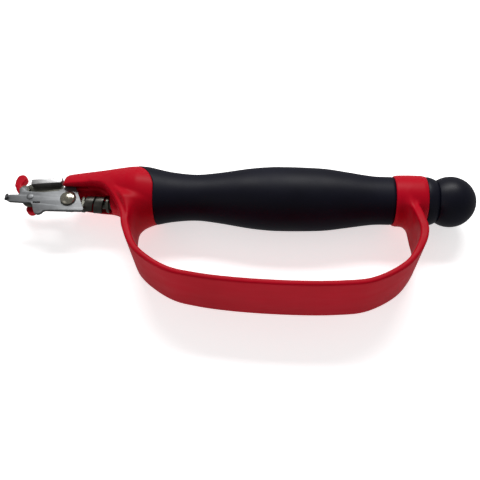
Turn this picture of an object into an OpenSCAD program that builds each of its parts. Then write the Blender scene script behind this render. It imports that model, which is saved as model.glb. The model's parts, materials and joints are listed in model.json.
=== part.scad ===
// Hand can opener with a finger guard: a sprung rotary cutting head on a
// soft grip that is closed by a flat moulded guard band.
// X runs along the handle from the head to the ball knob, +Y points away
// from the guard loop and +Z is up, with the tool lying on its side.

/* [Handle] */
// Largest radius of the soft grip
grip_r = 17; // [16.5:0.1:17]
// Radius of the nylon core inside the grip
core_r = 8; // [7:0.5:9]
// Radius of the steel tie rod
rod_r = 3; // [2.5:0.25:3.5]
// Radius of the ball knob
ball_r = 13.2; // [12:0.1:13.2]
// Radius of the rear collar
collar_r = 13.5; // [12.8:0.1:14]

/* [Guard band] */
// Width of the band along its straight run
band_w = 34; // [30:1:34]
// Width of the band where it meets the collars
band_root_w = 28.7; // [26:0.1:30]
// Thickness of the band
band_t = 2.8; // [2.2:0.1:3.4]
// Extra thickness where the band runs into the nose and the rear collar
root_t = 1.2; // [0:0.1:1.6]

/* [Head] */
// Thickness of the head plate
plate_t = 1.6; // [1.2:0.1:1.6]
// Radius of the jaw's pivot bush
bush_r = 3; // [2.6:0.1:3.2]
// Radius of the cutting wheel
cutter_r = 5; // [4:0.1:5.2]
// Tip radius of the toothed feed wheel
feed_r = 3.0; // [2.8:0.1:3.2]
// Teeth on the feed wheel
feed_teeth = 14; // [10:1:20]
// Radius of the feed axle
axle_r = 1.5; // [1.2:0.1:1.6]
// Radial running clearance of every moving fit
run_gap = 0.05; // [0.02:0.01:0.1]

/* [Jaw spring] */
// Outer radius of the flat-strip spring
spring_r = 4.5; // [4:0.1:4.6]
// Width of the spring's strip along its axis
strip_w = 4.4; // [3:0.1:4.6]
// Thickness of the spring's strip
strip_t = 0.8; // [0.5:0.1:1]
// Turns of the spring
spring_turns = 1.5; // [1:0.25:2]

/* [Hidden] */

// the handle's axis in the model's own frame
axis_x = -0.6;
axis_y = 21.2;
axis_z = 17;
ball_x = 111.8;

// ends of the main sections along the handle
grip_end = 82.3;
collar_end = 98.5;
rim_end = 104.5;

// head stations, measured from the handle's axis
plate_z = 2.4;
pivot = [-88.6, -4.7];
feed = [-115.4, 3.0];
cutter = [-109.5, -3.8];
spring_y = -5.6;
spring_z = -0.2;
spring_x0 = -80.6;
spring_x1 = -68.2;

red = [0.72, 0.06, 0.14];
black = [0.06, 0.07, 0.11];
steel = [0.60, 0.61, 0.62];
bright = [0.78, 0.78, 0.79];
brass = [0.75, 0.60, 0.30];
nylon = [0.85, 0.85, 0.82];

// smooth curve through points: one Catmull-Rom span, and a whole run
function cr(a, b, c, d, t) = 0.5*((2*b) + (c - a)*t
  + (2*a - 5*b + 4*c - d)*t*t + (3*b - a - 3*c + d)*t*t*t);
function smooth(p, n = 6) = let (m = len(p) - 1)
  [for (i = [0:m-1]) for (k = [0:n-1])
     cr(p[max(i-1, 0)], p[i], p[i+1], p[min(i+2, m)], k/n), p[m]];
function unit(v) = v/norm(v);
function turned(p) = [for (i = [len(p)-1:-1:0]) p[i]];
// share of the band's extra thickness at t, from its start to its end
function thick(t) = max(0, 1 - t/0.25) + min(1, max(0, (t - 0.8)/0.12));
// the band's inner side, thicker towards both ends
function inside(p, s, e) = let (m = len(p) - 1)
  [for (i = [0:m]) let (d = unit(p[min(i+1, m)] - p[max(i-1, 0)]))
     p[i] + (s + e*thick(i/m))*[-d[1], d[0]]];

// outer side of the guard band, from the nose round to the rear collar
band_pts = [[-68, -0.2], [-64.2, -4.9], [-60.3, -11.2], [-56.9, -19],
  [-54.3, -28.5], [-47.2, -41.5], [-32, -52.2], [-16.5, -56.2], [5, -58.5],
  [30.5, -59.4], [52, -58.8], [68, -56.3], [83, -47.7], [91.8, -36.2],
  [95.3, -26], [94.4, -17.5], [92.9, -10], [91.4, -5]];
// radius of the soft grip along the handle
grip_pts = [[-58, 16.4], [-52, 16.4], [-48, 16.1], [-45, 15.7], [-34, 13.4],
  [-21, 12.3], [-8.5, 13.5], [7.5, 15.9], [19, 16.9], [29, 17.0],
  [46, 16.4], [58, 14.8], [72, 12.8], [grip_end, 12.6]];

module place() translate([axis_x, axis_y, axis_z]) children();
// turn a shape drawn up Z so that it runs along X
module along_x(x = 0) translate([x, 0, 0]) rotate([0, 90, 0]) children();
module tube(r, bore, h) difference() {
  cylinder(r = r, h = h, $fn = 64);
  translate([0, 0, -1]) cylinder(r = bore, h = h + 2, $fn = 64);
}
// the space behind the curved joint between the nose and the grip
module grip_nose() translate([0, 0, -60]) linear_extrude(120)
  polygon([[80, -40], [-42, -40], for (y = [-4.3:1.2:20.9])
    [-42 - 0.0343*(y + 4.3)*(y + 4.3), y], [80, 20.9]]);

module nose_slice(x, a, b, y)
  translate([x, y, 0]) rotate([0, 90, 0])
    linear_extrude(0.2) scale([b/a, 1]) circle(r = a, $fn = 48);

module nose() difference() {
  union() {
    hull() {
      nose_slice(-92.8, 9.0, 7.0, 2.4);
      nose_slice(-91, 10.0, 8.0, 2.3);
      nose_slice(-80, 11.6, 9.4, 2.3);
      nose_slice(-71, 12.5, 10.6, 2.5);
    }
    hull() {
      nose_slice(-71, 12.5, 10.6, 2.5);
      nose_slice(-62, 13.4, 12.6, 2.7);
    }
    hull() {
      nose_slice(-62, 13.4, 12.6, 2.7);
      nose_slice(-55, 15.6, 15.4, 0.9);
      nose_slice(-48, 16.1, 16.0, 0);
    }
    hull() {
      nose_slice(-48, 16.1, 16.0, 0);
      nose_slice(-40.5, 14.8, 14.8, 0);
    }
  }
  // curved seat for the grip's front end
  grip_nose();
}

// recess, pocket, slot and bores of the housing
module head_cuts() {
  // mouth of the housing under the head, with a far wall left standing
  translate([-120, -30, -5.2]) cube([39, 32.2, 9.6]);
  translate([-120, -30, -5.2]) cube([32.5, 35.8, 9.6]);
  // recess below the crest that runs from the roof down to the band
  translate([0, 0, 4.2]) linear_extrude(40)
    polygon([[-120, 2.2], [-75, 2], [-69.8, 0.4], [-65.6, -4],
      [-61.8, -10], [-60, -18], [-59.6, -30], [-120, -30]]);
  // pocket for the spring, open towards the head plate's side
  translate([0, 0, -5.2]) linear_extrude(9.6)
    polygon([[-82, 2.2], [-75, 2], [-70.6, -0.4],
      [-67.2, -5], [-65, -12], [-64.4, -30], [-82, -30]]);
  // slot for the head plate's root
  translate([-95, 0, plate_z]) cube([15.5, 9.6, plate_t]);
  // round bed for the spring and the hole for its seat
  translate([0, spring_y, spring_z]) along_x(-82)
    cylinder(r = spring_r + 0.3, h = spring_x1 + 83.2, $fn = 64);
  translate([0, spring_y, spring_z]) along_x(spring_x1)
    cylinder(r = 2.4, h = 6.2, $fn = 48);
  // screw holes from the far side
  for (x = [-89.4, -82.6]) translate([x, 7.7, -20])
    cylinder(r = 1.0, h = 22.4, $fn = 32);
  for (x = [-89.4, -82.6]) translate([x, 7.7, -20])
    cylinder(r = 2.1, h = 14.6, $fn = 32);
  // tie rod and its captive nut
  along_x(-59) cylinder(r = rod_r, h = 20, $fn = 48);
  along_x(-58) cylinder(r = 5.77, h = 4, $fn = 6);
  along_x(-54) cylinder(r = 6.2, h = 1, $fn = 48);
  // socket for the core
  along_x(-53) cylinder(r = core_r, h = 20, $fn = 64);
}

module band() intersection() {
  translate([0, 0, -band_w/2]) linear_extrude(band_w)
    let (c = smooth(band_pts, 5))
      polygon(concat(c, turned(inside(c, band_t, root_t))));
  rotate([90, 0, 0]) translate([0, 0, -10]) linear_extrude(90)
    polygon([for (s = [-1, 1]) each let (r = band_root_w/2,
      p = [[-69, 10.2], [-61, 12.9], [-57, r - 0.2], [-50, r],
        [-34, band_w/2], [78, band_w/2], [92, r], [100, r]])
      [for (i = [0:7]) s*[(s > 0 ? p[i] : p[7 - i])[0]*s,
        (s > 0 ? p[i] : p[7 - i])[1]]]]);
}

module guard_frame() place() color(red) {
  difference() {
    union() {
      nose();
      difference() {
        band();
        // the band stops at the grip's own space
        along_x(-51) cylinder(r = 15.6, h = 134, $fn = 64);
        along_x(82) cylinder(r = collar_r - 1, h = 30, $fn = 64);
      }
      // rear collar with a slight crown
      rotate([0, 90, 0]) rotate_extrude($fn = 96)
        polygon([[core_r, grip_end], [13.0, grip_end], [13.4, 84],
          [collar_r, 90], [13.4, 96.5], [13.2, 97.9], [12.9, collar_end],
          [core_r, collar_end]]);
      // thickened root between band and rear collar
      translate([0, 0, -13]) linear_extrude(26)
        polygon([[94, -12], [95.2, -18], [92.8, -19], [91.6, -15.5],
          [89.6, -13.6], [86, -12.4], [88, -9]]);
    }
    along_x(80) cylinder(r = core_r, h = 30, $fn = 64);
    head_cuts();
  }
}

module handle_core() place() color(nylon)
  along_x(-53) tube(core_r, rod_r, collar_end + 53);

module grip_sleeve() place() color(black) {
  profile = concat([for (q = smooth(grip_pts, 5)) [min(q[1], grip_r), q[0]]],
    [[core_r, grip_end], [core_r, -58]]);
  intersection() {
    rotate([0, 90, 0]) rotate_extrude($fn = 96) polygon(profile);
    grip_nose();
  }
}

module tie_rod() place() color(steel)
  along_x(-59) cylinder(r = rod_r, h = 59 + 114, $fn = 48);

module tie_nut() place() color(steel) along_x(-58) difference() {
  cylinder(r = 5.77, h = 4, $fn = 6);
  translate([0, 0, -1]) cylinder(r = rod_r, h = 6, $fn = 48);
}

module tie_washer() place() color(steel) along_x(-54) tube(6.2, rod_r, 1);

module end_ferrule() place() color(black) difference() {
  rotate([0, 90, 0]) rotate_extrude($fn = 96)
    polygon([[rod_r, collar_end], [12.7, collar_end], [12.8, 99.2],
      [12.6, 101], [12.0, 102.8], [11.2, 104.1], [10.8, rim_end],
      [rod_r, rim_end]]);
}

module ball_knob() place() color(black) difference() {
  // the sphere starts at the circle where it meets the end rim
  let (a0 = acos((ball_x - rim_end)/ball_r), n = 18)
    rotate([0, 90, 0]) rotate_extrude($fn = 96)
      polygon([[0, rim_end],
        for (i = [0:n]) let (a = a0 + (180 - a0)*i/n)
          [i == n ? 0 : ball_r*sin(a), ball_x - ball_r*cos(a)]]);
  along_x(rim_end - 1) cylinder(r = 5, h = 12, $fn = 64);
}

module knob_insert() place() color(brass) along_x(rim_end) difference() {
  cylinder(r = 5, h = 11, $fn = 64);
  translate([0, 0, -1]) cylinder(r = rod_r, h = 10.5, $fn = 48);
}

// flat plate that carries the cutting wheel and the lid lifter
module head_plate() place() color(steel) difference() {
  union() {
    translate([0, 0, plate_z]) linear_extrude(plate_t)
      polygon([[-122.2, -3.0], [-122.6, -4.4], [-122.2, -5.8],
        [-120.4, -6.9], [-116, -7.1], [-110.4, -7.4], [-108.6, -7.6],
        [-107.2, -9.2], [-106.4, -11.6], [-105.3, -13.8], [-103.4, -14.7],
        [-101.7, -14], [-100.7, -12.6], [-99.6, -12.2], [-80.6, -12.2],
        [-79.6, -11.8], [-79.4, -11], [-82.3, -4.9], [-85, 1],
        [-86.9, 4.2], [-87, 5.8], [-79.6, 5.8], [-79.6, 9.6], [-92, 9.6],
        [-92, 5.6], [-92.3, 4.4], [-91.9, 3], [-93.1, 1.3], [-95.7, 0.2],
        [-99.5, -0.3],
        [-103.2, -0.8], [-107.2, -0.6], [-111, -0.3], [-112.6, 0.3],
        [-114, 1.6], [-115.2, 2.4], [-116, 1.9], [-116.2, 0.8],
        [-115.6, -1.8], [-116.4, -2.5], [-120.8, -2.6]]);
    // turned-up tip that hooks under a ring pull
    translate([-122.6, -4.4, plate_z]) rotate([0, -52, 0])
      translate([-0.05, -1.5, 0]) cube([3.0, 3, 0.9]);
  }
  // relief slot in the lobe
  translate([-107.4, -7.9, 0]) cube([4, 0.9, 6]);
  translate([pivot[0], pivot[1], 0]) cylinder(r = 2, h = 6, $fn = 48);
  translate([cutter[0], cutter[1], 0]) cylinder(r = 1.2, h = 6, $fn = 32);
  for (x = [-89.4, -82.6]) translate([x, 7.7, 0])
    cylinder(r = 1.0, h = 6, $fn = 32);
}

module plate_screws() place() color(steel)
  for (x = [-89.4, -82.6]) translate([x, 7.7, 0]) {
    translate([0, 0, -7]) cylinder(r = 2.0, h = 1.6, $fn = 32);
    translate([0, 0, -5.4]) cylinder(r = 1.0, h = 5.4 + plate_z + plate_t,
      $fn = 32);
  }

module pivot_bolt() place() color(bright)
  translate([pivot[0], pivot[1], 0]) {
    translate([0, 0, -4]) cylinder(r = 2, h = 4 + plate_z + plate_t,
      $fn = 48);
    translate([0, 0, plate_z + plate_t]) rotate_extrude($fn = 64)
      polygon([[0, 0], [4.2, 0], [4.2, 0.5],
        for (a = [0:10:90]) [4.2*cos(a), 0.5 + 1.9*sin(a)]]);
  }

module pivot_bush() place() color(brass)
  translate([pivot[0], pivot[1], 0]) difference() {
    union() {
      translate([0, 0, -1.8]) cylinder(r = bush_r, h = 1.8 + plate_z,
        $fn = 64);
      translate([0, 0, -0.3]) cylinder(r = 4.4, h = 0.3 + plate_z,
        $fn = 64);
    }
    translate([0, 0, -3]) cylinder(r = 2, h = 8, $fn = 48);
  }

module pivot_washer() place() color(steel)
  translate([pivot[0], pivot[1], -2.2]) tube(4.2, 2, 0.4);

module pivot_nut() place() color(steel)
  translate([pivot[0], pivot[1], -3.9]) difference() {
    cylinder(r = 3.3, h = 1.7, $fn = 6);
    translate([0, 0, -1]) cylinder(r = 2, h = 4, $fn = 48);
  }

module cutter_stud() place() color(bright)
  translate([cutter[0], cutter[1], 0]) {
    translate([0, 0, plate_z + plate_t]) rotate_extrude($fn = 48)
      polygon([[0, 0], [1.9, 0], [1.8, 0.3], [1.2, 0.55], [0, 0.65]]);
    translate([0, 0, 0.75]) cylinder(r = 1.2, h = plate_z + plate_t - 0.75,
      $fn = 32);
    translate([0, 0, 0.7]) cylinder(r = 1.8, h = 0.25, $fn = 32);
  }

module cutter_wheel() place() color(bright)
  translate([cutter[0], cutter[1], 0]) rotate_extrude($fn = 96)
    polygon([[1.2 + run_gap, 1.05], [2.4, 1.05], [2.6, 1.2],
      [cutter_r - 0.1, 1.2], [cutter_r, 1.3], [cutter_r - 0.1, 1.4],
      [3.2, 2.1], [2.4, 2.25], [1.2 + run_gap, 2.25]]);

// sprung arm with the raised bar that presses the rim on the cutter
module jaw_arm() place() color(steel) difference() {
  union() {
    translate([0, 0, -1.6]) linear_extrude(1.2) union() {
      translate(feed) circle(r = 3, $fn = 48);
      difference() {
        translate(pivot) circle(r = 5.6, $fn = 64);
        // flat heel that the plunger bears on
        translate([-83.0, -5.4]) rotate(36.9) translate([-10, -10])
          square([20, 10]);
      }
      polygon([[-115.4, 6.0], [-111.5, 8.3], [-95.1, 10.1], [-94.9, 7],
        [-93.7, 4], [-90.2, 1.6], [-85, -0.6], [-85.6, -4.7], [-91, -9.6], [-95.5, -4],
        [-104, 0.6], [-115.4, 0]]);
    }
    translate([0, 0, -1.6]) linear_extrude(4.6)
      polygon([[-111.5, 5.1], [-111.5, 8.3], [-95.1, 10.1], [-94.9, 8],
        [-95.2, 6.6], [-103, 5.9]]);
  }
  translate([pivot[0], pivot[1], -5]) cylinder(r = bush_r + run_gap,
    h = 8, $fn = 64);
  translate([feed[0], feed[1], -5]) cylinder(r = 2.3, h = 8, $fn = 48);
}

module axle_bush() place() color(brass)
  translate([feed[0], feed[1], -1.75]) tube(2.3, axle_r + run_gap, 1.45);

module feed_wheel() place() color(steel)
  translate([feed[0], feed[1], -0.2]) difference() {
    linear_extrude(0.85) polygon([for (i = [0:feed_teeth-1])
      for (s = [[0, 0.82], [0.25, 1], [0.5, 1], [0.75, 0.82]])
        let (a = 360*(i + s[0])/feed_teeth)
          feed_r*s[1]*[cos(a), sin(a)]]);
    translate([0, 0, -1]) cylinder(r = 1.1, h = 4, $fn = 32);
  }

module feed_axle() place() color(steel) translate([feed[0], feed[1], 0]) {
  translate([0, 0, -6.6]) cylinder(r = axle_r, h = 6.4, $fn = 48);
  translate([0, 0, -0.2]) cylinder(r = 1.1, h = 0.85, $fn = 32);
  translate([0, 0, 0.65]) cylinder(r = 1.6, h = 0.3, $fn = 32);
}

module thrust_washer() place() color(brass)
  translate([feed[0], feed[1], -2.3]) tube(3.0, axle_r, 0.45);

// S-shaped key with two curled wings
module turning_key() place() color(red)
  translate([feed[0], feed[1], -6.6]) difference() {
    linear_extrude(4.3) union() {
      circle(r = 3.4, $fn = 48);
      for (a = [0, 180]) rotate(a) {
        hull() {
          translate([-0.6, 0.4]) circle(r = 2.4, $fn = 32);
          translate([-4.6, 3.0]) circle(r = 1.5, $fn = 32);
        }
        hull() {
          translate([-4.6, 3.0]) circle(r = 1.5, $fn = 32);
          translate([-6.0, 7.0]) circle(r = 2.4, $fn = 32);
        }
        hull() {
          translate([-6.0, 7.0]) circle(r = 2.4, $fn = 32);
          translate([-5.2, 9.8]) circle(r = 2.9, $fn = 32);
        }
      }
    }
    translate([0, 0, -1]) cylinder(r = axle_r, h = 8, $fn = 48);
  }

module key_rivet() place() color(bright)
  translate([feed[0], feed[1], -6.6]) mirror([0, 0, 1])
    rotate_extrude($fn = 48)
      polygon([[0, 0], [2.4, 0], [2.3, 0.35], [1.6, 0.75], [0, 0.9]]);

module spring_plunger() place() color(brass) {
  difference() {
    union() {
      translate([0, spring_y, spring_z]) along_x(spring_x0 - 1.2)
        cylinder(r = 4.2, h = 1.2, $fn = 64);
      translate([0, spring_y, spring_z]) along_x(spring_x0)
        cylinder(r = 2.2, h = 3.2, $fn = 48);
    }
    // flat that clears the head plate
    translate([-90, -20, 1.9]) cube([20, 30, 10]);
  }
  // wedge that slides under the jaw's heel
  translate([0, 0, -1.6]) linear_extrude(1.2)
    polygon([[spring_x0 - 1, -5.4], [-82.9, -5.75], [-85.2, -7.5],
      [-85.2, -8.6], [spring_x0 - 1, -8.6]]);
}

// open-wound spring of flat strip, swept as a four-cornered section
module jaw_spring() place() color(steel) {
  n = round(spring_turns*24);
  rise = (spring_x1 - spring_x0 - strip_w - 0.1)/n;
  pts = [for (i = [0:n]) let (a = -90 - 15*i, z = i*rise)
    for (c = [[spring_r - strip_t, z], [spring_r, z],
              [spring_r, z + strip_w], [spring_r - strip_t, z + strip_w]])
      [c[0]*cos(a), c[0]*sin(a), c[1]]];
  translate([0, spring_y, spring_z]) along_x(spring_x0 + 0.05)
    polyhedron(pts, concat([[2, 1, 0], [3, 2, 0]],
      [for (i = [0:n-1]) for (k = [0:3])
        let (p = 4*i + k, q = 4*i + (k + 1)%4)
          each [[q + 4, p + 4, p], [q, q + 4, p]]],
      [[4*n, 4*n + 1, 4*n + 2], [4*n, 4*n + 2, 4*n + 3]]));
}

module spring_seat() place() color(steel)
  translate([0, spring_y, spring_z]) {
    along_x(spring_x1) cylinder(r = 4.2, h = 1.2, $fn = 64);
    along_x(spring_x1 + 1.2) cylinder(r = 2.4, h = 5, $fn = 48);
    along_x(spring_x1 - 6.5) cylinder(r = 2.2, h = 6.5, $fn = 48);
  }

guard_frame();
handle_core();
grip_sleeve();
tie_rod();
tie_nut();
tie_washer();
end_ferrule();
ball_knob();
knob_insert();
head_plate();
plate_screws();
pivot_bolt();
pivot_bush();
pivot_washer();
pivot_nut();
cutter_stud();
cutter_wheel();
jaw_arm();
axle_bush();
feed_wheel();
feed_axle();
thrust_washer();
turning_key();
key_rivet();
spring_plunger();
jaw_spring();
spring_seat();
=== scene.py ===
import json
import math

import bmesh
import bpy
import numpy as np
from mathutils import Matrix, Vector


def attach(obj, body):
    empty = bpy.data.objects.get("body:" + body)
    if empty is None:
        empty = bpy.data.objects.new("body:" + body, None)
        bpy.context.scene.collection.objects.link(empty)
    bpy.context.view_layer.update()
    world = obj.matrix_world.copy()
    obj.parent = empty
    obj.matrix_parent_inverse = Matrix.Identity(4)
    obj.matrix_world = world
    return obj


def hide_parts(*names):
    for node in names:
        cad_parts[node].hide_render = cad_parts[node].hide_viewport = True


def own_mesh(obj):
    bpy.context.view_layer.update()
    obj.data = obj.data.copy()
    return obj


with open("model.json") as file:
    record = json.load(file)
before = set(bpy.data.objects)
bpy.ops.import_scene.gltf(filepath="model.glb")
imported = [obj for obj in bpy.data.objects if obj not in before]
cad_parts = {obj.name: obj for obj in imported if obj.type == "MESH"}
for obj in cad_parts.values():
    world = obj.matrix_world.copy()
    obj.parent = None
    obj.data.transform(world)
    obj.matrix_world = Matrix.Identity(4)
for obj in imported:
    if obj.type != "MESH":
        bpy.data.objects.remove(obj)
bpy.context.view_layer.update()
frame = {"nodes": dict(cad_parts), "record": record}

import openvdb

# millimetres about the handle's axis -> metres in the frame
AX = np.array([-0.6, 21.2, 17.0])
MM = 0.001


def to_m(p):
    return (np.asarray(p, float) + AX) * MM


# ---------------------------------------------------------------- camera
scene = bpy.context.scene
cam_data = bpy.data.cameras.new("cam")
cam_data.lens = 45.0
cam_data.sensor_width = 36.0
cam_data.clip_start = 0.01
cam_data.clip_end = 20.0
cam = bpy.data.objects.new("cam", cam_data)
scene.collection.objects.link(cam)
cam_r = Vector((0.99832, 0.04568, -0.03570)).normalized()
cam_f = Vector((-0.05430, 0.51710, -0.85420)).normalized()
cam_u = cam_r.cross(cam_f).normalized()
cam_r = cam_f.cross(cam_u).normalized()
cam_loc = Vector(to_m((15.6 + 4.5, -184.0, 261.3)))
cam.matrix_world = Matrix((
    (cam_r.x, cam_u.x, -cam_f.x, cam_loc.x),
    (cam_r.y, cam_u.y, -cam_f.y, cam_loc.y),
    (cam_r.z, cam_u.z, -cam_f.z, cam_loc.z),
    (0, 0, 0, 1)))
scene.camera = cam

# ---------------------------------------------------------------- world, lights, floor
world = bpy.data.worlds.new("world")
scene.world = world
world.use_nodes = True
bg = world.node_tree.nodes["Background"]
bg.inputs["Color"].default_value = (1.0, 1.0, 1.0, 1)
bg.inputs["Strength"].default_value = 0.30
scene.view_settings.view_transform = "Standard"


def area(name, loc, target, size, power, color=(1, 1, 1), size_y=None):
    d = bpy.data.lights.new(name, "AREA")
    d.shape = "RECTANGLE"
    d.size = size
    d.size_y = size_y or size
    d.energy = power
    d.color = color
    o = bpy.data.objects.new(name, d)
    scene.collection.objects.link(o)
    o.location = loc
    v = Vector(target) - Vector(loc)
    o.rotation_euler = v.to_track_quat("-Z", "Y").to_euler()
    return o


area("key", (0.02, 0.50, 0.62), (0, 0.0, 0.01), 0.70, 6.5, size_y=0.20)
area("fill", (-0.55, -0.35, 0.50), (0, 0, 0.02), 0.45, 0.4)

floor_m = bpy.data.meshes.new("floor")
bm = bmesh.new()
bmesh.ops.create_grid(bm, x_segments=1, y_segments=1, size=2.5)
bm.to_mesh(floor_m)
bm.free()
floor = bpy.data.objects.new("floor", floor_m)
scene.collection.objects.link(floor)
floor.location = (0, 0, -0.0002)
floor.visible_glossy = False

# ---------------------------------------------------------------- materials


class Mat:
    """A small helper round a Principled material's node tree."""

    def __init__(self, name, color, rough, metallic=0.0):
        self.m = bpy.data.materials.new(name)
        self.m.use_nodes = True
        self.t = self.m.node_tree
        self.b = self.t.nodes["Principled BSDF"]
        self.b.inputs["Base Color"].default_value = (*color, 1)
        self.b.inputs["Roughness"].default_value = rough
        self.b.inputs["Metallic"].default_value = metallic
        self.tc = self.t.nodes.new("ShaderNodeTexCoord")

    def node(self, kind, **inputs):
        n = self.t.nodes.new(kind)
        for k, v in inputs.items():
            key = k.replace("_", " ")
            n.inputs[key].default_value = v
        return n

    def link(self, a, b):
        self.t.links.new(a, b)

    def coords(self, scale=(1, 1, 1), rot=(0, 0, 0)):
        mp = self.t.nodes.new("ShaderNodeMapping")
        mp.inputs["Scale"].default_value = scale
        mp.inputs["Rotation"].default_value = rot
        self.link(self.tc.outputs["Object"], mp.inputs["Vector"])
        return mp.outputs["Vector"]

    def noise(self, vec, scale, detail=2.0, rough=0.5):
        n = self.node("ShaderNodeTexNoise", Scale=scale, Detail=detail,
                      Roughness=rough)
        self.link(vec, n.inputs["Vector"])
        return n.outputs["Fac"]

    def ramp(self, fac, stops):
        r = self.t.nodes.new("ShaderNodeValToRGB")
        e = r.color_ramp.elements
        while len(e) < len(stops):
            e.new(0.5)
        for el, (p, c) in zip(e, stops):
            el.position = p
            el.color = (*c, 1) if len(c) == 3 else c
        self.link(fac, r.inputs["Fac"])
        return r.outputs["Color"]

    def map(self, fac, a, b, c, d):
        n = self.node("ShaderNodeMapRange")
        n.inputs["From Min"].default_value = a
        n.inputs["From Max"].default_value = b
        n.inputs["To Min"].default_value = c
        n.inputs["To Max"].default_value = d
        self.link(fac, n.inputs["Value"])
        return n.outputs["Result"]

    def bump(self, fac, strength, dist, prev=None):
        n = self.node("ShaderNodeBump", Strength=strength, Distance=dist)
        self.link(fac, n.inputs["Height"])
        if prev is not None:
            self.link(prev, n.inputs["Normal"])
        return n.outputs["Normal"]

    def set(self, socket, value):
        if hasattr(value, "links") or hasattr(value, "is_linked"):
            self.link(value, self.b.inputs[socket])
        else:
            self.b.inputs[socket].default_value = value


def red_plastic():
    m = Mat("red_plastic_look", (0.36, 0.0035, 0.014), 0.34)
    v = m.coords()
    big = m.noise(v, 28.0, 3.0, 0.55)
    fine = m.noise(v, 1400.0, 2.0, 0.5)
    flow = m.noise(m.coords((14, 60, 60)), 3.0, 2.0, 0.5)
    m.set("Base Color", m.ramp(big, [
        (0.30, (0.37, 0.0008, 0.0090)), (0.52, (0.41, 0.0010, 0.0110)),
        (0.74, (0.445, 0.0014, 0.0140))]))
    m.set("Roughness", m.map(flow, 0.3, 0.7, 0.36, 0.48))
    m.set("Normal", m.bump(fine, 0.08, 0.00004))
    m.b.inputs["Specular IOR Level"].default_value = 0.07
    return m.m


def soft_black():
    m = Mat("soft_black_look", (0.006, 0.007, 0.014), 0.5)
    v = m.coords()
    grain = m.noise(v, 2600.0, 2.0, 0.6)
    patch = m.noise(v, 45.0, 4.0, 0.6)
    m.set("Base Color", m.ramp(patch, [
        (0.30, (0.0012, 0.0014, 0.0060)), (0.55, (0.0020, 0.0022, 0.0085)),
        (0.80, (0.0032, 0.0034, 0.0110))]))
    m.set("Roughness", m.map(patch, 0.3, 0.7, 0.46, 0.58))
    n = m.bump(grain, 0.22, 0.00005)
    m.set("Normal", n)
    m.b.inputs["Specular IOR Level"].default_value = 0.15
    return m.m


def black_plastic():
    m = Mat("black_plastic_look", (0.006, 0.007, 0.014), 0.4)
    v = m.coords()
    patch = m.noise(v, 70.0, 3.0, 0.55)
    fine = m.noise(v, 1800.0, 2.0, 0.5)
    m.set("Base Color", m.ramp(patch, [
        (0.30, (0.0014, 0.0016, 0.0065)), (0.75, (0.0030, 0.0032, 0.0105))]))
    m.set("Roughness", m.map(patch, 0.3, 0.7, 0.40, 0.50))
    m.set("Normal", m.bump(fine, 0.14, 0.00004))
    m.b.inputs["Specular IOR Level"].default_value = 0.18
    return m.m


def steel(name, base=(0.50, 0.51, 0.52), rough=0.34, axis=0, bumpy=0.12):
    m = Mat(name, base, rough, 1.0)
    sc = [900, 900, 900]
    sc[axis] = 14
    grain = m.noise(m.coords(tuple(sc)), 1.0, 3.0, 0.6)
    stain = m.noise(m.coords(), 160.0, 4.0, 0.6)
    c = m.ramp(stain, [
        (0.25, tuple(0.72 * k for k in base)), (0.50, base),
        (0.80, tuple(min(1, 1.18 * k) for k in base))])
    m.set("Base Color", c)
    m.set("Roughness", m.map(grain, 0.3, 0.7, rough - 0.07, rough + 0.09))
    m.set("Normal", m.bump(grain, bumpy, 0.00003))
    return m.m


def brass():
    m = Mat("brass_look", (0.62, 0.42, 0.17), 0.32, 1.0)
    v = m.coords()
    tarn = m.noise(v, 240.0, 4.0, 0.6)
    m.set("Base Color", m.ramp(tarn, [
        (0.28, (0.30, 0.20, 0.09)), (0.55, (0.58, 0.40, 0.17)),
        (0.80, (0.74, 0.55, 0.26))]))
    m.set("Roughness", m.map(tarn, 0.3, 0.7, 0.42, 0.26))
    m.set("Normal", m.bump(m.noise(v, 900.0, 2.0), 0.1, 0.00003))
    return m.m


def nylon():
    m = Mat("nylon_look", (0.72, 0.71, 0.66), 0.5)
    v = m.coords()
    patch = m.noise(v, 60.0, 3.0)
    m.set("Base Color", m.ramp(patch, [
        (0.3, (0.66, 0.65, 0.59)), (0.7, (0.78, 0.77, 0.73))]))
    m.set("Roughness", m.map(patch, 0.3, 0.7, 0.44, 0.56))
    m.set("Normal", m.bump(m.noise(v, 900.0, 2.0), 0.1, 0.00004))
    return m.m


def paper():
    m = Mat("floor_look", (0.93, 0.93, 0.93), 0.9)
    m.b.inputs["Specular IOR Level"].default_value = 0.05
    m.b.inputs["Emission Color"].default_value = (1, 1, 1, 1)
    m.b.inputs["Emission Strength"].default_value = 0.60
    return m.m


RED = red_plastic()
SOFT = soft_black()
BLACK = black_plastic()
STEEL = steel("steel_look", (0.165, 0.17, 0.175), 0.50)
BRIGHT = steel("bright_steel_look", (0.36, 0.34, 0.28), 0.20, 1, 0.05)
SPRING = steel("spring_steel_look", (0.065, 0.063, 0.056), 0.42, 2, 0.1)
# painted shade: a darker copy of the steel for the jaw plate seen through the gap between the jaws, the
# cutter and the inner parts in the recess; it stands in for the shade they sit in
SHADE_STEEL = steel("painted_shade_steel_look", (0.10, 0.10, 0.085), 0.36, 0, 0.1)
BAR = steel("bar_steel_look", (0.33, 0.33, 0.33), 0.42, 0, 0.1)
BRASS = brass()
NYLON = nylon()
floor_m.materials.append(paper())

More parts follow.
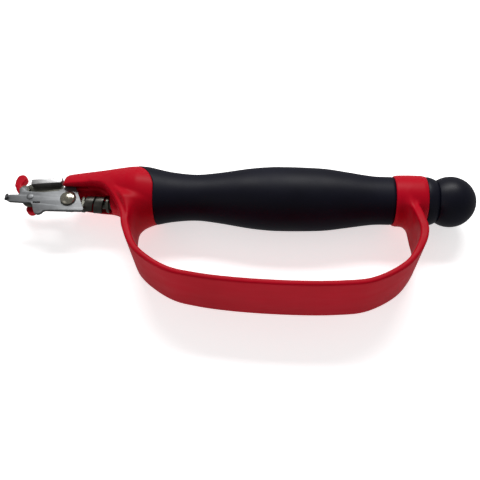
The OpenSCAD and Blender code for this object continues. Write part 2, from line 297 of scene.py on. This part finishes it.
LOOK = {"red_plastic": RED, "soft_black": SOFT, "black_plastic": BLACK,
        "steel": STEEL, "bright_steel": BRIGHT, "brass": BRASS,
        "nylon": NYLON}
SLOT = {s["node"]: s["material_slot"] for s in frame["record"]["subparts"]}
for name, ob in frame["nodes"].items():
    look = LOOK[SLOT[name]]
    if name == "jaw_spring":
        look = SPRING
    # painted shade: the inner parts in the recess take the darker steel in place of the shade there
    if name in ("spring_seat", "feed_wheel", "axle_bush", "pivot_bush",
                "spring_plunger"):
        look = SHADE_STEEL
    if name == "cutter_stud":
        look = STEEL
    if not ob.material_slots:
        ob.data.materials.append(look)
    for s in ob.material_slots:
        s.material = look

# ---------------------------------------------------------------- mesh helpers


def add_mesh(name, verts, faces, mat, body, replaces=(), smooth=True):
    me = bpy.data.meshes.new(name)
    me.from_pydata([tuple(v) for v in verts], [], [tuple(f) for f in faces])
    me.validate()
    me.update()
    if smooth:
        me.shade_smooth()
    me.materials.append(mat)
    ob = bpy.data.objects.new(name, me)
    scene.collection.objects.link(ob)
    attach(ob, body)
    if replaces:
        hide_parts(*replaces)
    return ob


def smin(a, b, k):
    h = np.clip(0.5 + 0.5 * (b - a) / k, 0, 1)
    return b * (1 - h) + a * h - k * h * (1 - h)


def smax(a, b, k):
    return -smin(-a, -b, k)


def sstep(x, a, b):
    t = np.clip((x - a) / (b - a), 0, 1)
    return t * t * (3 - 2 * t)


def catmull(pts, n):
    p = np.asarray(pts, float)
    m = len(p) - 1
    out = []
    for i in range(m):
        a, b, c, d = p[max(i - 1, 0)], p[i], p[i + 1], p[min(i + 2, m)]
        for k in range(n):
            t = k / n
            out.append(0.5 * (2 * b + (c - a) * t
                       + (2 * a - 5 * b + 4 * c - d) * t * t
                       + (3 * b - a - 3 * c + d) * t ** 3))
    out.append(p[m])
    return np.array(out)


def isosurface(f, lo, hi, step):
    """Vertices and quads of f = 0, each vertex then moved on to the surface
    along the gradient of f, so that the mesh is smoother than its grid."""
    lo, hi = np.array(lo, float), np.array(hi, float)
    n = np.ceil((hi - lo) / step).astype(int) + 1
    xs = [lo[i] + step * np.arange(n[i]) for i in range(3)]
    vol = np.empty(n, np.float32)
    for i in range(0, n[0], 24):
        X, Y, Z = np.meshgrid(xs[0][i:i + 24], xs[1], xs[2], indexing="ij")
        vol[i:i + 24] = f(X, Y, Z)
    g = openvdb.FloatGrid(float(3 * step))
    g.copyFromArray(np.clip(vol, -3 * step, 3 * step))
    pts, quads = g.convertToQuads(isovalue=0.0)
    p = lo + np.asarray(pts, float) * step
    e = 0.05
    for _ in range(4):
        x, y, z = p[:, 0], p[:, 1], p[:, 2]
        v = f(x, y, z)
        gr = np.stack([f(x + e, y, z) - f(x - e, y, z),
                       f(x, y + e, z) - f(x, y - e, z),
                       f(x, y, z + e) - f(x, y, z - e)], 1) / (2 * e)
        l2 = np.maximum((gr ** 2).sum(1), 0.05)
        d = (v / l2)[:, None] * gr
        ln = np.linalg.norm(d, axis=1, keepdims=True)
        d *= np.minimum(1, 0.35 * step / np.maximum(ln, 1e-9))
        p = p - d
    q = np.asarray(quads)[:, ::-1]
    return p, q


def lathe(name, prof, mat, body, replaces=(), n=96, axis="x",
          at=(0, 0, 0)):
    """A closed turned piece: prof lists (along, radius), 0 radius at both
    ends, about the X or Z axis through the point at."""
    prof = np.asarray(prof, float)
    ang = np.linspace(0, 2 * math.pi, n, endpoint=False)
    verts, faces = [], []
    for t, r in prof[1:-1]:
        for g in ang:
            c, q = r * math.cos(g), r * math.sin(g)
            verts.append((t, c, q) if axis == "x" else (c, q, t))
    m = len(prof) - 2
    for i in range(m - 1):
        for j in range(n):
            k = (j + 1) % n
            faces.append((i * n + j, i * n + k, (i + 1) * n + k,
                          (i + 1) * n + j))
    for t, i0, flip in ((prof[0][0], 0, False), (prof[-1][0], (m - 1) * n, True)):
        c = len(verts)
        verts.append((t, 0, 0) if axis == "x" else (0, 0, t))
        for j in range(n):
            k = (j + 1) % n
            faces.append((c, i0 + j, i0 + k) if flip else (c, i0 + k, i0 + j))
    up = prof[-1][0] > prof[0][0]
    if not up:
        faces = [f[::-1] for f in faces]
    # (along, cos, sin) and (cos, sin, along) are both right-handed
    v = to_m(np.array(verts) + np.asarray(at, float))
    return add_mesh(name, v, faces, mat, body, replaces)


def arc(cx, cy, r, a0, a1, n):
    return [(cx + r * math.cos(math.radians(a0 + (a1 - a0) * i / n)),
             cy + r * math.sin(math.radians(a0 + (a1 - a0) * i / n)))
            for i in range(n + 1)]


def rounded(poly, r, n=4):
    """The polygon with each corner turned into a small arc."""
    p = np.asarray(poly, float)
    out = []
    for i in range(len(p)):
        a, b, c = p[i - 1], p[i], p[(i + 1) % len(p)]
        u, v = a - b, c - b
        lu, lv = np.linalg.norm(u), np.linalg.norm(v)
        u, v = u / lu, v / lv
        ct = float(np.clip(u @ v, -1, 1))
        half = math.acos(ct) / 2
        if half > 1.5:
            out.append(tuple(b))
            continue
        d = min(r / math.tan(half), 0.45 * lu, 0.45 * lv)
        s0, s1 = b + u * d, b + v * d
        for k in range(n + 1):
            t = k / n
            q = (1 - t) ** 2 * s0 + 2 * t * (1 - t) * b + t * t * s1
            out.append(tuple(q))
    return out


def circle_pts(cx, cy, r, n=40):
    return [(cx + r * math.cos(2 * math.pi * i / n),
             cy + r * math.sin(2 * math.pi * i / n)) for i in range(n)]


def sheet(name, outline, z0, z1, bevel, mat, body, replaces=(),
          holes=()):
    """A flat piece cut to an outline, its edges broken by a small round."""
    cu = bpy.data.curves.new(name + "_c", "CURVE")
    cu.dimensions = "2D"
    cu.fill_mode = "BOTH"
    cu.extrude = (z1 - z0) / 2 - bevel
    cu.bevel_depth = bevel
    cu.bevel_resolution = 2
    cu.offset = -bevel
    for loop in [outline, *holes]:
        sp = cu.splines.new("POLY")
        sp.points.add(len(loop) - 1)
        for q, (x, y) in zip(sp.points, loop):
            q.co = (x, y, 0, 1)
        sp.use_cyclic_u = True
    tmp = bpy.data.objects.new(name + "_t", cu)
    scene.collection.objects.link(tmp)
    dg = bpy.context.evaluated_depsgraph_get()
    me = bpy.data.meshes.new_from_object(tmp.evaluated_get(dg))
    bpy.data.objects.remove(tmp)
    b = bmesh.new()
    b.from_mesh(me)
    bmesh.ops.remove_doubles(b, verts=b.verts, dist=1e-4)
    bmesh.ops.recalc_face_normals(b, faces=b.faces)
    verts = [(v.co.x, v.co.y, v.co.z + (z0 + z1) / 2) for v in b.verts]
    b.verts.index_update()
    faces = [[v.index for v in f.verts] for f in b.faces]
    b.free()
    ob = add_mesh(name, to_m(np.array(verts)), faces, mat, body,
                  replaces, smooth=True)
    ob.data.set_sharp_from_angle(angle=math.radians(32))
    return ob


# ---------------------------------------------------------------- red guard frame
BAND_C = [(-74, 2.2), (-68.6, 0.0), (-64.3, -4.8), (-60.3, -11.2),
          (-56.9, -19.0), (-54.3, -28.5), (-47.2, -41.5),
          (-32, -52.2), (-16.5, -56.2), (5, -58.5), (30.5, -59.4),
          (52, -58.8), (68, -56.3), (83, -47.7), (91.8, -36.2),
          (95.3, -26), (94.4, -17.5), (93.0, -10), (91.6, -4)]
BAND_H = [9.0, 10.5, 11.9, 13.2, 14.2, 14.7, 16.0, 16.8, 17.0, 17.0, 17.0,
          17.0, 17.0, 16.9, 16.2, 15.0, 13.9, 11.8, 9.4]
BAND = catmull(BAND_C, 9)
BAND_T = 2.8
_seg_a, _seg_b = BAND[:-1], BAND[1:]
_seg_d = _seg_b - _seg_a
_seg_l2 = (_seg_d ** 2).sum(1)
_seg_len = np.sqrt(_seg_l2)
_cum = np.concatenate([[0], np.cumsum(_seg_len)])
_HR = _cum[::9] / _cum[-1]
_HX = np.linspace(0, 1, 400)
_HY = np.convolve(np.pad(np.interp(_HX, _HR, BAND_H), 8, mode="edge"),
                  np.hanning(19)[1:-1] / np.hanning(19)[1:-1].sum(), "valid")


def band_coords(x, y):
    """Signed distance from the outer curve (positive towards the inside of
    the loop) and the run along it, as a fraction."""
    shp = x.shape
    px, py = x.ravel(), y.ravel()
    best = np.full(px.size, 1e9)
    side = np.zeros(px.size)
    run = np.zeros(px.size)
    for i in range(len(_seg_a)):
        ax, ay = px - _seg_a[i, 0], py - _seg_a[i, 1]
        t = np.clip((ax * _seg_d[i, 0] + ay * _seg_d[i, 1]) / _seg_l2[i], 0, 1)
        dx, dy = ax - t * _seg_d[i, 0], ay - t * _seg_d[i, 1]
        d = dx * dx + dy * dy
        m = d < best
        best[m] = d[m]
        cr = _seg_d[i, 0] * ay - _seg_d[i, 1] * ax
        side[m] = np.sign(cr[m])
        run[m] = (_cum[i] + t[m] * _seg_len[i]) / _cum[-1]
    return (np.sqrt(best) * side).reshape(shp), run.reshape(shp)


NX = np.array([-93.0, -92.0, -90.5, -85, -80, -72, -66, -61, -56, -51, -48, -45, -42, -38, -30])
NA = np.array([8.3, 9.2, 10.0, 10.9, 11.6, 12.4, 12.8, 13.6, 15.2, 16.2, 16.15, 15.8, 15.25, 14.4, 13.0])
NB = np.array([5.8, 7.0, 8.0, 8.8, 9.4, 10.5, 11.6, 12.9, 15.0, 16.1, 16.1, 15.8, 15.25, 14.4, 13.0])
NY = np.array([2.4, 2.4, 2.3, 2.25, 2.3, 2.5, 2.9, 2.6, 1.2, 0.3, 0.0, 0.0, 0.0, 0.0, 0.0])


def smooth_table(xs, ys):
    xx = np.linspace(xs[0], xs[-1], 640)
    yy = np.interp(xx, xs, ys)
    k = np.hanning(51)
    k /= k.sum()
    pad = np.concatenate([np.full(25, yy[0]), yy, np.full(25, yy[-1])])
    ys2 = np.convolve(pad, k, "valid")
    w = sstep(xx, xs[0], xs[0] + 5)          # keep the crisp front end
    return xx, yy * (1 - w) + ys2 * w


_TA, _TB, _TY = (smooth_table(NX, v) for v in (NA, NB, NY))


def f_nose(x, y, z):
    a = np.interp(x, *_TA)
    b = np.interp(x, *_TB)
    yc = np.interp(x, *_TY)
    r = np.sqrt(((y - yc) / a) ** 2 + (z / b) ** 2)
    d = (r - 1) * (a * b) / np.maximum(np.sqrt((b * (y - yc) / np.maximum(r, .05) / a) ** 2
                                            + (a * z / np.maximum(r, .05) / b) ** 2), 1e-3)
    return smax(d, -(x + 92.8), 1.6)


REC_TOP = catmull([(-98, 2.2), (-84, 2.2), (-75, 2.1), (-69.8, 0.6),
                   (-65.6, -3.8), (-61.8, -9.8), (-60.0, -18),
                   (-59.6, -30)], 8)
POCKET = catmull([(-98, 2.2), (-84, 2.2), (-75, 2.0), (-70.6, -0.4),
                  (-67.2, -5.0), (-65.0, -12), (-64.4, -30)], 8)


def poly_side(curve, x, y):
    """Signed distance to an open curve, positive on its left."""
    shp = x.shape
    px, py = x.ravel(), y.ravel()
    best = np.full(px.size, 1e9)
    side = np.zeros(px.size)
    for a, b in zip(curve[:-1], curve[1:]):
        d = b - a
        ax, ay = px - a[0], py - a[1]
        t = np.clip((ax * d[0] + ay * d[1]) / (d @ d), 0, 1)
        ex, ey = ax - t * d[0], ay - t * d[1]
        q = ex * ex + ey * ey
        m = q < best
        best[m] = q[m]
        side[m] = np.sign((d[0] * ay - d[1] * ax)[m])
    return (np.sqrt(best) * side).reshape(shp)


def cyl_x(x, y, z, x0, x1, r, cy=0.0, cz=0.0):
    d = np.sqrt((y - cy) ** 2 + (z - cz) ** 2) - r
    e = np.abs(x - (x0 + x1) / 2) - (x1 - x0) / 2
    return np.maximum(d, e)


def seam_x(y):
    return -42.0 - 0.0343 * np.maximum(0, y + 4.3) ** 2


def grip_space(x, y, z):
    """Negative behind the curved joint between the nose and the grip."""
    return (seam_x(y) - x) / np.sqrt(1 + (0.0686 * np.maximum(0, y + 4.3)) ** 2)


GRIP = catmull([(-60, 16.3), (-52, 16.4), (-48, 16.1), (-45, 15.7),
                (-34, 13.4), (-21, 12.3), (-8.5, 13.5), (7.5, 15.9),
                (19, 16.9), (29, 17.0), (46, 16.4), (58, 14.8), (72, 12.8),
                (82.3, 12.6)], 8)


def grip_rad(x):
    return np.minimum(np.interp(x, GRIP[:, 0], GRIP[:, 1]), 17.0)


def f_guard(x, y, z):
    rr = np.sqrt(y * y + z * z)
    s, run = band_coords(x, y)
    half = np.interp(run, _HX, _HY)
    th = BAND_T + 1.1 * (1 - sstep(run, 0.10, 0.30)) \
        + 1.3 * sstep(run, 0.80, 0.92) * np.clip(0.45 + z / 26, 0, 1)
    q1 = np.abs(s - th / 2) - th / 2 + 1.0
    q2 = np.abs(z) - half + 1.0
    band = (np.sqrt(np.maximum(q1, 0) ** 2 + np.maximum(q2, 0) ** 2)
            + np.minimum(np.maximum(q1, q2), 0) - 1.0)
    # the nose runs on a little way under the grip's front edge
    g = grip_space(x, y, z)
    nose = smax(f_nose(x, y, z), -(g + 1.6), 0.3)
    nose = smax(nose, np.where(x < -20, rr - grip_rad(x) + 0.12
                + 0.55 * sstep(-g, -0.25, 0.35), -9.0), 0.3)
    rad = np.interp(x, [80, 82.3, 84, 90, 96.5, 98.5, 102],
                    [12.85, 13.0, 13.4, 13.55, 13.4, 12.95, 12.0])
    col = smax(rr - rad, np.abs(x - 90.4) - 8.1, 0.5)
    inner = sstep(s, 0.6, 4.0)
    left = smin(band, nose, 1.8 + 11.5 * inner * sstep(-y, 1.0, 11.0))
    right = smin(band, col, 2.0 + 2.6 * inner)
    d = np.where(x < 20, left, right)
    return d


def f_guard_cut(x, y, z):
    d = f_guard(x, y, z)
    # recess under the crest, and the lower pocket that runs in under the roof
    hi = np.maximum(poly_side(REC_TOP, x, y), 3.6 - z)
    lo = smax(np.maximum(poly_side(POCKET, x, y), z - 4.4), -5.2 - z, 3.0)
    rec = smin(hi, lo, 2.0)
    rec = smax(rec, -(y + 22.0), 0.5)
    rec = np.where(x < -56.5, rec, 50.0)
    d = smax(d, -rec, 1.2)
    front = np.maximum.reduce([np.minimum(np.maximum(x + 81.0, y - 2.2),
                                          np.maximum(x + 87.5, y - 5.8)),
                               z - 4.4, -5.2 - z])
    d = smax(d, -front, 0.5)
    slot = np.maximum.reduce([x + 79.3, y - 9.75, z - 4.15, 2.3 - z])
    d = np.maximum(d, -slot)
    d = smax(d, -cyl_x(x, y, z, -90, -66.8, 4.95, -5.6, -0.2), 0.5)
    d = np.maximum(d, -cyl_x(x, y, z, -70, -61.9, 2.45, -5.6, -0.2))
    for sx in (-89.4, -82.6):
        c = np.sqrt((x - sx) ** 2 + (y - 7.7) ** 2)
        d = smax(d, -np.maximum(c - 2.15, z + 5.5), 0.25)
        d = np.maximum(d, -np.maximum(c - 1.05, z - 2.4))
    # the grip, and the core inside the collars
    rr = np.sqrt(y * y + z * z)
    g = np.maximum(grip_space(x, y, z) + 1.6, x - 60)
    d = np.maximum(d, -np.where(rr < 17.2, g, 9.0))
    d = np.maximum(d, -np.where((x > -53) & (x < 103), rr - 8.0, 9.0))
    return d


step = 0.5
gp, gq = isosurface(f_guard_cut, (-95, -61.5, -18.6), (104, 18.6, 18.6), step)
guard = add_mesh("red_guard", to_m(gp), gq, RED, "frame",
                 ("guard_frame",))

# ---------------------------------------------------------------- grip

def grip_mesh():
    n, m = 128, 110
    verts, faces = [], []
    rings = []
    for r in np.linspace(8.0, 14.4, 6):
        rings.append(("cap", r))
    for k in range(m + 1):
        rings.append(("side", k / m))
    for kind, v in rings:
        for j in range(n):
            g = 2 * math.pi * j / n
            cy, sz = math.cos(g), math.sin(g)
            if kind == "cap":
                verts.append((float(seam_x(v * cy)) + 0.02, v * cy, v * sz))
            else:
                x0 = float(seam_x(15.9 * cy)) + 0.04
                t = v ** 1.25
                x = x0 + (82.3 - x0) * t
                r = float(grip_rad(x))
                r -= 0.35 * max(0.0, 1 - (x - x0) / 0.6) ** 2
                r -= 0.25 * max(0.0, 1 - (82.3 - x) / 0.5) ** 2
                verts.append((x, r * cy, r * sz))
    total = len(rings)
    for i in range(total - 1):
        for j in range(n):
            k = (j + 1) % n
            faces.append((i * n + j, i * n + k, (i + 1) * n + k,
                          (i + 1) * n + j))
    last = len(verts)
    for j in range(n):
        g = 2 * math.pi * j / n
        verts.append((82.3, 8 * math.cos(g), 8 * math.sin(g)))
    for j in range(n):
        k = (j + 1) % n
        a = (total - 1) * n
        faces.append((a + j, a + k, last + k, last + j))
        faces.append((last + j, last + k, k, j))
    return np.array(verts), faces


gv, gf = grip_mesh()
add_mesh("soft_grip", to_m(gv), gf, SOFT, "frame",
         ("grip_sleeve",))

lathe("rear_ferrule", [(98.45, 0), (98.45, 12.5), (98.55, 12.72), (98.9, 12.8),
                       (99.8, 12.75), (101, 12.5), (102.2, 12.1),
                       (103.3, 11.6), (104.1, 11.1), (104.5, 10.6), (104.5, 0)],
      BLACK, "frame", ("end_ferrule",), n=128)
a0 = math.degrees(math.acos((111.8 - 104.5) / 13.2))
ball = [(104.5, 0)] + [(111.8 - 13.2 * math.cos(math.radians(t)),
                        13.2 * math.sin(math.radians(t)))
                       for t in np.linspace(a0, 179.2, 60)] + [(125.0, 0)]
lathe("round_knob", ball, BLACK, "frame", ("ball_knob",), n=128)

# ---------------------------------------------------------------- head
PLATE = [(-122.2, -3.0), (-122.6, -4.4), (-122.2, -5.8), (-120.4, -6.9),
         (-116, -7.1), (-110.4, -7.4), (-108.6, -7.6), (-107.2, -9.2),
         (-106.4, -11.6), (-105.3, -13.8), (-103.4, -14.7), (-101.7, -14),
         (-100.7, -12.6), (-99.6, -12.2), (-80.6, -12.2), (-79.6, -11.8),
         (-79.4, -11), (-82.3, -4.9), (-85, 1), (-86.9, 4.2), (-87, 5.8),
         (-79.6, 5.8), (-79.6, 9.6), (-92, 9.6), (-92, 5.6), (-92.3, 4.4),
         (-91.9, 3), (-93.1, 1.3), (-95.7, 0.2), (-99.5, -0.3), (-103.2, -0.8),
         (-107.2, -0.6), (-111, -0.3), (-112.6, 0.3), (-114, 1.6),
         (-115.2, 2.4), (-116, 1.9), (-116.2, 0.8), (-115.6, -1.8),
         (-116.4, -2.5), (-120.8, -2.6)]
sheet("lid_plate", rounded(PLATE, 0.8), 2.4, 4.0, 0.16, STEEL, "frame",
      ("head_plate",),
      holes=[rounded([(-107.4, -7.9), (-103.4, -7.9), (-103.4, -7.0),
                      (-107.4, -7.0)], 0.4)[::-1]])
# turned-up tip of the lifter, a thin lip that curls back over the plate
lip_c = catmull([(-121.2, 3.25), (-122.2, 3.2), (-122.85, 3.45),
                 (-122.8, 4.2), (-122.1, 4.95), (-120.9, 5.7)], 5)
tv, tf = [], []
for i, (x, z) in enumerate(lip_c):
    q = lip_c[min(i + 1, len(lip_c) - 1)] - lip_c[max(i - 1, 0)]
    q = q / np.linalg.norm(q)
    h = 0.36 - 0.16 * i / (len(lip_c) - 1)
    w = 1.5 - 0.5 * (i / (len(lip_c) - 1)) ** 3
    for dy, k in ((-w, -h), (w, -h), (w, h), (-w, h)):
        tv.append((x - q[1] * k, -4.4 + dy, z + q[0] * k))
for i in range(len(lip_c) - 1):
    for j in range(4):
        k = (j + 1) % 4
        tf.append((4 * i + j, 4 * i + k, 4 * i + 4 + k, 4 * i + 4 + j))
tf += [(3, 2, 1, 0), tuple(4 * len(lip_c) - 4 + j for j in (0, 1, 2, 3))]
lip = add_mesh("lifter_tip", to_m(np.array(tv)), tf, STEEL, "frame")
lip.data.set_sharp_from_angle(angle=math.radians(40))

lathe("domed_bolt", [(-4, 0), (-4, 1.9), (-3.9, 2), (4.0, 2), (4.0, 4.0),
                     (4.12, 4.15), (4.3, 4.2)]
      + [(4.5 + 1.9 * math.sin(math.radians(t)), 4.2 * math.cos(math.radians(t)))
         for t in range(4, 90, 5)] + [(6.4, 0)],
      BRIGHT, "frame", ("pivot_bolt",), n=72, axis="z",
      at=(-88.6, -4.7, 0))
# painted shade: the cutter disc takes the darker steel, standing in for the shade under the tab
lathe("cutter_disc", [(1.05, 0), (1.05, 2.4), (1.2, 2.6), (1.2, 4.85),
                      (1.3, 5.0), (1.4, 4.85), (2.1, 3.2), (2.25, 2.4),
                      (2.25, 0)],
      SHADE_STEEL, "cutter", ("cutter_wheel",), n=96, axis="z",
      at=(-109.5, -3.8, 0))

JAW = [(-115.4, 6.0), (-111.5, 8.3), (-95.1, 10.1), (-94.9, 7),
       (-93.7, 4.0), (-90.2, 1.6), (-84.8, -0.4), (-83.0, -4.7), (-84.6, -7.0), (-86.4, -9.8),
       (-91, -9.6), (-95.5, -4), (-104, 0.6), (-115.4, 0.0), (-117.6, 1.2),
       (-118.3, 3.0), (-117.6, 4.9)]
# painted shade: the jaw plate takes the darker steel, standing in for the shade in the gap between the
# jaws
sheet("jaw_plate", rounded(JAW, 1.4), -1.6, -0.4, 0.12, SHADE_STEEL, "jaw",
      ("jaw_arm",), holes=[circle_pts(-88.6, -4.7, 3.05)[::-1],
                           circle_pts(-115.4, 3.0, 2.3)[::-1]])
sheet("jaw_bar", rounded([(-111.5, 5.1), (-111.5, 8.3), (-95.1, 10.1),
                          (-94.9, 8), (-95.2, 6.6), (-103, 5.9)], 0.5),
      -1.2, 3.0, 0.2, BAR, "jaw")


def f_key(x, y, z):
    d = np.sqrt(x * x + y * y) - 3.4
    for sgn in (1, -1):
        c = [(-0.6, 0.4, 2.4), (-3.2, 1.5, 1.8), (-5.0, 3.4, 1.55),
             (-5.9, 6.0, 1.95), (-5.5, 8.2, 2.5), (-5.0, 9.8, 2.9)]
        for (ax, ay, ar), (bx, by, br) in zip(c[:-1], c[1:]):
            ax, ay, bx, by = sgn * ax, sgn * ay, sgn * bx, sgn * by
            ex, ey = bx - ax, by - ay
            t = np.clip(((x - ax) * ex + (y - ay) * ey) / (ex * ex + ey * ey), 0, 1)
            q = np.sqrt((x - ax - t * ex) ** 2 + (y - ay - t * ey) ** 2) \
                - (ar + t * (br - ar))
            d = smin(d, q, 0.8)
    e = np.abs(z - 2.15) - 2.15
    r = 1.1
    q1, q2 = d + r, e + r
    f = np.sqrt(np.maximum(q1, 0) ** 2 + np.maximum(q2, 0) ** 2) \
        + np.minimum(np.maximum(q1, q2), 0) - r
    return np.maximum(f, 1.5 - np.sqrt(x * x + y * y))


kp, kq = isosurface(f_key, (-11, -14, -0.8), (11, 14, 5.2),
                    0.3)
add_mesh("s_key", to_m(kp + np.array([-115.4, 3.0, -6.6])), kq, RED, "feed",
         ("turning_key",))

# flat-strip spring between plunger and seat
COIL = rounded([(3.7, 0), (4.5, 0), (4.5, 4.4), (3.7, 4.4)], 0.16)
coil_n, m_c = 180, len(COIL)
cv = []
for i in range(coil_n + 1):
    t = i / coil_n
    ang = math.radians(-90 - 540 * t)
    for r, h in COIL:
        cv.append((-80.55 + 7.9 * t + h, -5.6 + r * math.sin(ang),
                   -0.2 - r * math.cos(ang)))
cf = [(m_c * i + j, m_c * i + (j + 1) % m_c, m_c * (i + 1) + (j + 1) % m_c,
       m_c * (i + 1) + j) for i in range(coil_n) for j in range(m_c)]
cf += [tuple(range(m_c))[::-1],
       tuple(m_c * coil_n + j for j in range(m_c))]
coil = add_mesh("strip_spring", to_m(np.array(cv)), cf, SPRING, "frame",
                ("jaw_spring",))
b = bmesh.new()
b.from_mesh(coil.data)
bmesh.ops.recalc_face_normals(b, faces=b.faces)
b.to_mesh(coil.data)
b.free()
coil.data.set_sharp_from_angle(angle=math.radians(32))
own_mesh(coil)
